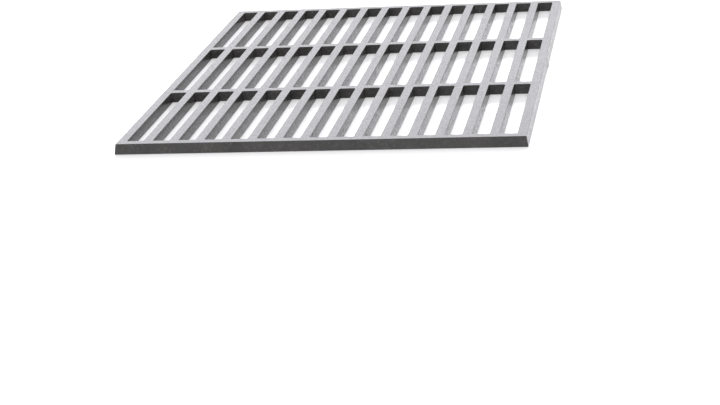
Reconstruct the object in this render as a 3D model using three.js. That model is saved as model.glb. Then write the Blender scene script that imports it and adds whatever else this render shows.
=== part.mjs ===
// Queen excluder: a flat moulded grid whose slots let worker bees through and hold the queen back.
// Millimetres. X runs across the slots, Y along them, Z up. The origin is the centre of the underside.
//
// The real grid is one moulding. It is modelled member by member, as rails, cross ribs and slats that
// meet face to face where the moulding branches, so that every slot stays a real opening.

import * as THREE from 'three';
import { ConvexGeometry } from 'three/addons/geometries/ConvexGeometry.js';

// Driving dimensions. Widths are taken along the top, where a member is narrowest.
const slotsAcross = 15;
const rowCount = 3;
const slotGap = 4.2; // the gap that stops a queen, at the underside, where a slot is narrowest
const slotLength = 45.65; // at the underside
const slatWidth = 2.62; // between two slots side by side
const ribWidth = 2.7; // between two rows
const railWidth = 2.65; // all round
const thickness = 2.95;
const slotDraftDegrees = 6.5; // how far the slots' walls lean, so that the mould's cores draw out
const rimDraftDegrees = 8.5; // how far the outer walls lean

// Sizes that follow. The draft is how far a wall stands out at the underside, beyond its top edge.
const draftAt = (degrees) => thickness * Math.tan(THREE.MathUtils.degToRad(degrees));
const draft = draftAt(slotDraftDegrees);
const rimDraft = draftAt(rimDraftDegrees);
const topGap = slotGap + 2 * draft;
const topSlotLength = slotLength + 2 * draft;
const slotPitch = topGap + slatWidth;
const rowPitch = topSlotLength + ribWidth;
const fieldWidth = slotsAcross * slotPitch - slatWidth; // from side rail to side rail, at the top
const fieldLength = rowCount * rowPitch - ribWidth; // from front rail to back rail, at the top

const plastic = new THREE.MeshStandardMaterial({ color: 0x38383a, roughness: 0.55, metalness: 0 });
const grid = new THREE.Group();

// A member has a rectangular top and a rectangular underside. Each limit is how far the underside
// goes past the top on that side: more where a wall of its own leans out, and less where it ends on
// another member's leaning wall.
function memberShape(sizeX, sizeY, { west, east, south, north }) {
  const corners = [];
  for (const [sideX, outX] of [[-1, west], [1, east]]) {
    for (const [sideY, outY] of [[-1, south], [1, north]]) {
      corners.push(
        new THREE.Vector3((sideX * sizeX) / 2, (sideY * sizeY) / 2, thickness),
        new THREE.Vector3(sideX * (sizeX / 2 + outX), sideY * (sizeY / 2 + outY), 0),
      );
    }
  }
  return new ConvexGeometry(corners);
}

function addMember(name, shape, x, y) {
  const mesh = new THREE.Mesh(shape, plastic);
  mesh.name = name;
  mesh.position.set(x, y, 0);
  grid.add(mesh);
}

// Front and back rails run the full width, corners included.
const endRailLength = fieldWidth + 2 * railWidth;
const endRailY = (fieldLength + railWidth) / 2;
const endRail = (south, north) =>
  memberShape(endRailLength, railWidth, { west: rimDraft, east: rimDraft, south, north });
addMember('front_rail', endRail(rimDraft, draft), 0, -endRailY);
addMember('back_rail', endRail(draft, rimDraft), 0, endRailY);

// Side rails stand between the end rails.
const sideRailX = (fieldWidth + railWidth) / 2;
const sideRail = (west, east) =>
  memberShape(railWidth, fieldLength, { west, east, south: -draft, north: -draft });
addMember('left_rail', sideRail(rimDraft, draft), -sideRailX, 0);
addMember('right_rail', sideRail(draft, rimDraft), sideRailX, 0);

// Cross ribs run from side rail to side rail and part the rows.
const crossRib = memberShape(fieldWidth, ribWidth, {
  west: -draft,
  east: -draft,
  south: draft,
  north: draft,
});
for (let number = 1; number < rowCount; number++) {
  const y = -fieldLength / 2 + number * rowPitch - ribWidth / 2;
  addMember(`cross_rib_${number}`, crossRib, 0, y);
}

// Slats part the slots of each row.
const slat = memberShape(slatWidth, topSlotLength, {
  west: draft,
  east: draft,
  south: -draft,
  north: -draft,
});
for (let row = 1; row <= rowCount; row++) {
  const y = -fieldLength / 2 + (row - 1) * rowPitch + topSlotLength / 2;
  for (let number = 1; number < slotsAcross; number++) {
    const x = -fieldWidth / 2 + number * slotPitch - slatWidth / 2;
    addMember(`row_${row}_slat_${String(number).padStart(2, '0')}`, slat, x, y);
  }
}

export default grid;
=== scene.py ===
import math

import bpy
from mathutils import Matrix, Vector


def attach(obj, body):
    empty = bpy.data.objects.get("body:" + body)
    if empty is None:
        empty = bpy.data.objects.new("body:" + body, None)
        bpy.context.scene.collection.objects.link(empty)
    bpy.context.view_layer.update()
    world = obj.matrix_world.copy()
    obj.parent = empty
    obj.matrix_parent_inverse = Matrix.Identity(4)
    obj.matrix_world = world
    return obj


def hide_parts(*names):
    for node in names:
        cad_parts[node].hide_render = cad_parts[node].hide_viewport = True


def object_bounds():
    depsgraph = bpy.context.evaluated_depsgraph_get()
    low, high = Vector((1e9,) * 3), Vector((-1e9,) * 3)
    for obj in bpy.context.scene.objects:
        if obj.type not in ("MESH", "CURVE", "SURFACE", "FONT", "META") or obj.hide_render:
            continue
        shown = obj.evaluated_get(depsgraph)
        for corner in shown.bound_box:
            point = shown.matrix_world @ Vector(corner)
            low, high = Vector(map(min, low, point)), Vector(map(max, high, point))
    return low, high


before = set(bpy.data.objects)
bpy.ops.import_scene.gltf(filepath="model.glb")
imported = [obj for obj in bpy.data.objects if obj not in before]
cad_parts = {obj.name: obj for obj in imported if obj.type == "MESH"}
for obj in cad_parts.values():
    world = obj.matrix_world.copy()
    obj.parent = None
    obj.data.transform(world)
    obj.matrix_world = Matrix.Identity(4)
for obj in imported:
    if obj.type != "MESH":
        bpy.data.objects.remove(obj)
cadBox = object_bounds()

scene = bpy.context.scene
print("frame loaded:", len(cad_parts), "members")


class Wire:
    # one output of a node; sums written with it in Python add Math nodes
    def __init__(self, tree, socket):
        self.tree, self.socket = tree, socket

    def maths(self, operation, *parts):
        return addNode(self.tree, "ShaderNodeMath", {"operation": operation}, dict(enumerate(parts)))

    def __add__(self, other):
        return self.maths("ADD", self, other)

    def __sub__(self, other):
        return self.maths("SUBTRACT", self, other)

    def __rsub__(self, other):
        return self.maths("SUBTRACT", other, self)

    def __mul__(self, other):
        return self.maths("MULTIPLY", self, other)

    def clamped(self, low, high):
        return self.maths("MINIMUM", self.maths("MAXIMUM", self, low), high)

    __radd__ = __add__
    __rmul__ = __mul__


def addNode(tree, kind, settings, inputs, output=0):
    # settings are made first; an input takes a plain value or a Wire
    node = tree.nodes.new(kind)
    for name, value in settings.items():
        setattr(node, name, value)
    for name, value in inputs.items():
        if isinstance(value, Wire):
            tree.links.new(value.socket, node.inputs[name])
        else:
            node.inputs[name].default_value = value
    return Wire(tree, node.outputs[output]) if node.outputs else node


def mixColour(tree, share, first, second):
    settings = {"data_type": "RGBA", "clamp_factor": True}
    return addNode(tree, "ShaderNodeMix", settings, {0: share, 6: first, 7: second}, 2)


# Charcoal moulding plastic with the fine grain of a spark-eroded mould. Sizes in metres.
plastic = {
    "dark": (0.0162, 0.0155, 0.0148, 1),
    "light": (0.0462, 0.0438, 0.0412, 1),
    "grainSize": 0.00028,
    "speckSize": 0.0010,
    "patchSize": 0.009,
    "speckContrast": 2.6,
    "patchContrast": 2.0,
    "speckTone": 0.4,  # the specks' share in the colour; the patches have the rest
    "roughness": 0.22,
    "speckRoughness": 0.18,  # how far roughness swings from speck to speck
    "patchRoughness": 0.06,  # and from patch to patch
    "refraction": 1.4,
    "grainRelief": 0.8,  # the grain's share in the relief; the specks have the rest
    "grainDepth": 0.00006,
    "grainStrength": 0.55,
}


def makePlastic():
    material = bpy.data.materials.new("charcoalPlastic")
    material.use_nodes = True
    tree = material.node_tree
    tree.nodes.clear()
    place = addNode(tree, "ShaderNodeTexCoord", {}, {}, "Object")

    def noise(size, detail, distortion=0.0, roughness=0.5):
        inputs = {
            "Vector": place,
            "Scale": 1 / size,
            "Detail": detail,
            "Roughness": roughness,
            "Distortion": distortion,
        }
        return addNode(tree, "ShaderNodeTexNoise", {}, inputs, "Fac")

    def sharpened(value, contrast):
        return ((value - 0.5) * contrast + 0.5).clamped(0, 1)

    grain = noise(plastic["grainSize"], detail=2.0)
    speck = noise(plastic["speckSize"], detail=3.0, distortion=0.4, roughness=0.6)
    specks = sharpened(speck, plastic["speckContrast"])
    patch = noise(plastic["patchSize"], detail=3.0, distortion=0.6)
    patches = sharpened(patch, plastic["patchContrast"])

    tone = specks * plastic["speckTone"] + patches * (1 - plastic["speckTone"])
    roughness = (
        plastic["roughness"]
        + (specks - 0.5) * plastic["speckRoughness"]
        + (patches - 0.5) * plastic["patchRoughness"]
    )
    relief = {
        "Strength": plastic["grainStrength"],
        "Distance": plastic["grainDepth"],
        "Height": grain * plastic["grainRelief"] + speck * (1 - plastic["grainRelief"]),
    }
    surface = {
        "Base Color": mixColour(tree, tone, plastic["dark"], plastic["light"]),
        "Roughness": roughness,
        "Normal": addNode(tree, "ShaderNodeBump", {}, relief, "Normal"),
        "IOR": plastic["refraction"],
    }
    shader = addNode(tree, "ShaderNodeBsdfPrincipled", {}, surface)
    addNode(tree, "ShaderNodeOutputMaterial", {}, {"Surface": shader})
    return material


charcoal = makePlastic()

# How the moulding's edges are finished. Sizes in metres.
finish = {
    "topEdge": 0.00014,  # radius along every top edge
    "undersideEdge": 0.00010,
    "slotCorner": 0.00055,  # upright radius in the slot corners, at the top
    "outerCorner": 0.00012,
    "root": 0.0004,  # how far a rib or rail carries the slats' roots past the corner radius
    "edgeSteps": 4,
    "cornerSteps": 5,
}


def levels(node):
    # a member's rectangle on its top and at its underside, each as (x0, y0, x1, y1)
    points = [v.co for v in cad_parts[node].data.vertices]
    middle = sum(p.z for p in points) / len(points)
    found = []
    for part in ([p for p in points if p.z > middle], [p for p in points if p.z < middle]):
        xs, ys = [p.x for p in part], [p.y for p in part]
        found.append((min(xs), min(ys), max(xs), max(ys)))
    return found


def named(start):
    return sorted(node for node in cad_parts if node.startswith(start))


ribNames = named("cross_rib_")
slatNames = [named(f"row_{row + 1}_slat_") for row in range(len(ribNames) + 1)]
top = {name: levels(name)[0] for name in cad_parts}
thickness = cadBox[1].z - cadBox[0].z
# how far a wall stands out at the underside, beyond its top edge
lean = {
    "slot": levels(slatNames[0][0])[1][2] - top[slatNames[0][0]][2],
    "rim": levels("right_rail")[1][2] - top["right_rail"][2],
}

# The slots' limits at the top, column by column and row by row, read off the members that bound them.
across = ["left_rail", *slatNames[0], "right_rail"]
along = ["front_rail", *ribNames, "back_rail"]
columns = [(top[a][2], top[b][0]) for a, b in zip(across, across[1:])]
rows = [(top[a][3], top[b][1]) for a, b in zip(along, along[1:])]
lastColumn, lastRow = len(columns) - 1, len(rows) - 1
left, right = top["left_rail"][0], top["right_rail"][2]
front, back = top["front_rail"][1], top["back_rail"][3]
reach = lean["slot"] + finish["slotCorner"] + finish["root"]  # from a rib or rail to where its roots end


def wallProfile(leaning):
    # (how far out, height, tilt of the surface), from the flat top, round its edge and down the leaning
    # wall to the underside
    angle = math.atan2(leaning, thickness)
    steps = finish["edgeSteps"]

    def edge(radius, height, start, end):
        out = leaning * (thickness - height) / thickness - radius / math.cos(angle)
        for step in range(steps + 1):
            turn = start + (end - start) * step / steps
            yield out + radius * math.cos(turn), height + radius * math.sin(turn), turn

    upper, lower = finish["topEdge"], finish["undersideEdge"]
    return [
        *edge(upper, thickness - upper, math.pi / 2, angle),
        *edge(lower, lower, angle, -math.pi / 2),
    ]


profiles = {wall: wallProfile(amount) for wall, amount in lean.items()}


def wallPoint(x, y, nx, ny, wall="slot", slide=None):
    # one upright line of a wall: where it meets the top, which way it faces, and which way it leans out
    return {"at": (x, y), "facing": (nx, ny), "slide": slide or (nx, ny), "profile": profiles[wall]}


def quarterTurn(start, side):
    # directions round a quarter turn, from start degrees, anticlockwise for side 1 and clockwise for -1
    for step in range(finish["cornerSteps"] + 1):
        turn = math.radians(start + side * 90 * step / finish["cornerSteps"])
        yield math.cos(turn), math.sin(turn)


def outerCorner(east, north, start):
    # an upright edge of the rim, as sharp at the underside as at the top
    r = finish["outerCorner"]
    x = right - r if east else left + r
    y = back - r if north else front + r
    slide = (1 if east else -1, 1 if north else -1)
    return [wallPoint(x + r * c, y + r * s, c, s, "rim", slide) for c, s in quarterTurn(start, 1)]


def slotCorner(column, row, corner):
    (x0, x1), (y0, y1), r = columns[column], rows[row], finish["slotCorner"]
    x = x1 - r if "e" in corner else x0 + r
    y = y1 - r if "n" in corner else y0 + r
    start = {"ne": 90, "se": 0, "sw": -90, "nw": 180}[corner]
    return [wallPoint(x + r * c, y + r * s, -c, -s) for c, s in quarterTurn(start, -1)]


oppositeBelow = -0.99  # the cosine between two facings that counts as opposite


def solidFrom(name, outline):
    # Closes an anticlockwise outline into a member. Where two neighbouring points face opposite ways,
    # the member is cut off square, and the next one carries on from there.
    count, rings = len(outline), len(profiles["slot"])
    points, facing = [], []
    for ring in range(rings):
        for point in outline:
            out, height, tilt = point["profile"][ring]
            (x, y), (nx, ny), (sx, sy) = point["at"], point["facing"], point["slide"]
            points.append((x + sx * out, y + sy * out, height))
            facing.append((nx * math.cos(tilt), ny * math.cos(tilt), math.sin(tilt)))
    lastRing = (rings - 1) * count
    faces = [list(range(count)), [lastRing + i for i in reversed(range(count))]]
    normals = [[(0, 0, 1)] * count, [(0, 0, -1)] * count]
    for i in range(count):
        j = (i + 1) % count
        (ax, ay), (bx, by) = outline[i]["at"], outline[j]["at"]
        if Vector(outline[i]["facing"]).dot(Vector(outline[j]["facing"])) < oppositeBelow:
            length = math.hypot(bx - ax, by - ay)
            down = [k * count + i for k in range(rings)]
            up = [k * count + j for k in reversed(range(rings))]
            faces.append(down + up)
            normals.append([((by - ay) / length, (ax - bx) / length, 0)] * (2 * rings))
            continue
        for k in range(0, lastRing, count):
            faces.append([k + i, k + count + i, k + count + j, k + j])
            normals.append([facing[corner] for corner in faces[-1]])
    mesh = bpy.data.meshes.new(name)
    mesh.from_pydata(points, [], faces)
    mesh.shade_smooth()
    mesh.normals_split_custom_set([normal for face in normals for normal in face])
    mesh.materials.append(charcoal)
    mesh.update()
    piece = bpy.data.objects.new(name, mesh)
    scene.collection.objects.link(piece)
    return piece


def addMember(node, outline):
    piece = solidFrom("moulded_" + node, outline)
    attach(piece, "root")
    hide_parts(node)


# Slats, between the roots that the ribs and end rails carry.
for row, names in enumerate(slatNames):
    y0, y1 = rows[row][0] + reach, rows[row][1] - reach
    for name in names:
        x0, x1 = top[name][0], top[name][2]
        addMember(name, [
            wallPoint(x0, y0, -1, 0),
            wallPoint(x1, y0, 1, 0),
            wallPoint(x1, y1, 1, 0),
            wallPoint(x0, y1, -1, 0),
        ])
print("slats made:", sum(map(len, slatNames)))


def southSide(row, first, last):
    # the walls that close the slots of a row from the south, taken from east to west
    y = rows[row][0] + reach
    points = []
    for column in reversed(range(len(columns))):
        x0, x1 = columns[column]
        if column < lastColumn or last:
            points += [wallPoint(x1, y, -1, 0), *slotCorner(column, row, "se")]
        if column > 0 or first:
            points += [*slotCorner(column, row, "sw"), wallPoint(x0, y, 1, 0)]
    return points


def northSide(row, first, last):
    # the walls that close the slots of a row from the north, taken from west to east
    y = rows[row][1] - reach
    points = []
    for column in range(len(columns)):
        x0, x1 = columns[column]
        if column > 0 or first:
            points += [wallPoint(x0, y, 1, 0), *slotCorner(column, row, "nw")]
        if column < lastColumn or last:
            points += [*slotCorner(column, row, "ne"), wallPoint(x1, y, -1, 0)]
    return points


# Front and back rails, with the outer corners and the roots of every member that runs into them.
frontCut, backCut = rows[0][0] + reach, rows[lastRow][1] - reach
addMember("front_rail", [
    wallPoint(left, frontCut, -1, 0, "rim"),
    *outerCorner(False, False, 180),
    *outerCorner(True, False, 270),
    wallPoint(right, frontCut, 1, 0, "rim"),
    *southSide(0, True, True),
])
addMember("back_rail", [
    wallPoint(right, backCut, 1, 0, "rim"),
    *outerCorner(True, True, 0),
    *outerCorner(False, True, 90),
    wallPoint(left, backCut, -1, 0, "rim"),
    *northSide(lastRow, True, True),
])

# Cross ribs, from one side rail's root to the other's.
for row, name in enumerate(ribNames):
    x0, x1 = columns[0][0] + reach, columns[lastColumn][1] - reach
    y0, y1 = top[name][1], top[name][3]
    addMember(name, [
        wallPoint(x0, y0, 0, -1),
        *northSide(row, False, False),
        wallPoint(x1, y0, 0, -1),
        wallPoint(x1, y1, 0, 1),
        *southSide(row + 1, False, False),
        wallPoint(x0, y1, 0, 1),
    ])

# The low scar where the gate was cut off the right rail's outer wall. Sizes in metres.
gate = {
    "middle": 0.0035,  # along the rail, from the grid's middle
    "length": 0.0095,
    "ramp": 0.0040,  # how much of the length each end takes to rise
    "proud": 0.00022,
    "rampSteps": 6,
}


def gateScar():
    # the outer wall's points across the scar, from south to north; share is how far up the ramp one is
    points = []
    for side in (-1, 1):
        for step in range(gate["rampSteps"] + 1):
            share = step / gate["rampSteps"] if side < 0 else 1 - step / gate["rampSteps"]
            out = gate["proud"] * (1 - math.cos(math.pi * share)) / 2
            slope = -side * gate["proud"] / gate["ramp"] * math.pi / 2 * math.sin(math.pi * share)
            y = gate["middle"] + side * (gate["length"] / 2 - gate["ramp"] * share)
            length = math.hypot(1, slope)
            points.append(wallPoint(right + out, y, 1 / length, -slope / length, "rim", (1, 0)))
    return points


# Side rails, with the roots of the cross ribs.
eastSide, westSide = [], []
for row in range(len(rows)):
    x = columns[0][0] + reach
    if row > 0:
        westSide += [wallPoint(x, rows[row][0], 0, 1), *slotCorner(0, row, "sw")]
    if row < lastRow:
        westSide += [*slotCorner(0, row, "nw"), wallPoint(x, rows[row][1], 0, -1)]
for row in reversed(range(len(rows))):
    x = columns[lastColumn][1] - reach
    if row < lastRow:
        eastSide += [wallPoint(x, rows[row][1], 0, -1), *slotCorner(lastColumn, row, "ne")]
    if row > 0:
        eastSide += [*slotCorner(lastColumn, row, "se"), wallPoint(x, rows[row][0], 0, 1)]
innerLeft, innerRight = columns[0][0], columns[lastColumn][1]
addMember("left_rail", [
    wallPoint(left, backCut, -1, 0, "rim"),
    wallPoint(left, frontCut, -1, 0, "rim"),
    wallPoint(innerLeft, frontCut, 1, 0),
    *westSide,
    wallPoint(innerLeft, backCut, 1, 0),
])
addMember("right_rail", [
    wallPoint(right, frontCut, 1, 0, "rim"),
    *gateScar(),
    wallPoint(right, backCut, 1, 0, "rim"),
    wallPoint(innerRight, backCut, -1, 0),
    *eastSide,
    wallPoint(innerRight, frontCut, -1, 0),
])
print("rails and cross ribs made")

# A plain white floor, and soft light from all round that is strongest from behind and in front.
studio = {
    "floorSize": 6.0,
    "floorColour": (0.60, 0.60, 0.60, 1),
    "floorGlow": 0.30,
    "floorRoughness": 0.15,
    "floorGap": 0.0001,  # keeps the floor and the underside from sharing a plane
    "surround": 1.08,
}


def makeFloor():
    half, z = studio["floorSize"] / 2, cadBox[0].z - studio["floorGap"]
    mesh = bpy.data.meshes.new("floor")
    corners = [(-half, -half, z), (half, -half, z), (half, half, z), (-half, half, z)]
    mesh.from_pydata(corners, [], [(0, 1, 2, 3)])
    floor = bpy.data.objects.new("floor", mesh)
    scene.collection.objects.link(floor)
    material = bpy.data.materials.new("floorWhite")
    material.use_nodes = True
    tree = material.node_tree
    tree.nodes.clear()
    surface = {
        "Base Color": studio["floorColour"],
        "Roughness": studio["floorRoughness"],
        "Emission Color": (1, 1, 1, 1),
        "Emission Strength": studio["floorGlow"],
    }
    shader = addNode(tree, "ShaderNodeBsdfPrincipled", {}, surface)
    addNode(tree, "ShaderNodeOutputMaterial", {}, {"Surface": shader})
    mesh.materials.append(material)


makeFloor()

world = bpy.data.worlds.new("studio")
scene.world = world
world.use_nodes = True
background = world.node_tree.nodes["Background"]
background.inputs["Color"].default_value = (1, 1, 1, 1)
background.inputs["Strength"].default_value = studio["surround"]

centre = (cadBox[0] + cadBox[1]) / 2


def directionOf(azimuth, elevation):
    # from the grid towards a thing in the studio; azimuth 0 is straight in front, and 90 to the right
    a, e = math.radians(azimuth), math.radians(elevation)
    return Vector((math.sin(a) * math.cos(e), -math.cos(a) * math.cos(e), math.sin(e)))


# Each softbox: its size, where it stands round the grid, how far away, and how bright its panel looks.
softboxes = {
    "backSoftbox": {"size": (1.6, 0.8), "azimuth": 182, "elevation": 33, "distance": 1.0, "glow": 2.28},
    "topSoftbox": {"size": (1.2, 1.2), "azimuth": 0, "elevation": 88, "distance": 1.1, "glow": 0.2},
    "frontSoftbox": {"size": (1.6, 0.9), "azimuth": 0, "elevation": 30, "distance": 1.2, "glow": 1.8},
}
softboxTint = (0.93, 0.918, 1.0)  # very slightly violet


def makeSoftbox(name, box):
    width, height = box["size"]
    lamp = bpy.data.lights.new(name, "AREA")
    lamp.shape = "RECTANGLE"
    lamp.size, lamp.size_y = width, height
    lamp.color = softboxTint
    lamp.energy = box["glow"] * width * height * math.pi
    lampObject = bpy.data.objects.new(name, lamp)
    away = directionOf(box["azimuth"], box["elevation"])
    lampObject.location = centre + away * box["distance"]
    lampObject.rotation_euler = away.to_track_quat("Z", "Y").to_euler()
    lampObject.visible_camera = False
    scene.collection.objects.link(lampObject)


for name, box in softboxes.items():
    makeSoftbox(name, box)

# The camera stands in front, a little to the right and above, with the grid high in its frame.
view = {
    "azimuth": 11.264,
    "elevation": 20.011,
    "roll": 4.664,
    "lens": 86.62,
    "sensor": 36,
    "aim": (0.02059, -0.12425),  # where it looks on the grid's top plane, from the grid's middle
    "distance": 0.42484,
    "clip": (0.01, 50),
}
camera = bpy.data.objects.new("camera", bpy.data.cameras.new("camera"))
scene.collection.objects.link(camera)
scene.camera = camera
camera.data.lens, camera.data.sensor_width = view["lens"], view["sensor"]
camera.data.clip_start, camera.data.clip_end = view["clip"]
away = directionOf(view["azimuth"], view["elevation"])
target = Vector((centre.x + view["aim"][0], centre.y + view["aim"][1], cadBox[1].z))
level = away.to_track_quat("Z", "Y").to_matrix().to_4x4()
roll = Matrix.Rotation(math.radians(-view["roll"]), 4, "Z")
camera.matrix_world = Matrix.Translation(target + away * view["distance"]) @ level @ roll
scene.view_settings.view_transform = "Standard"
print("floor, lights and camera set")

bpy.context.view_layer.update()
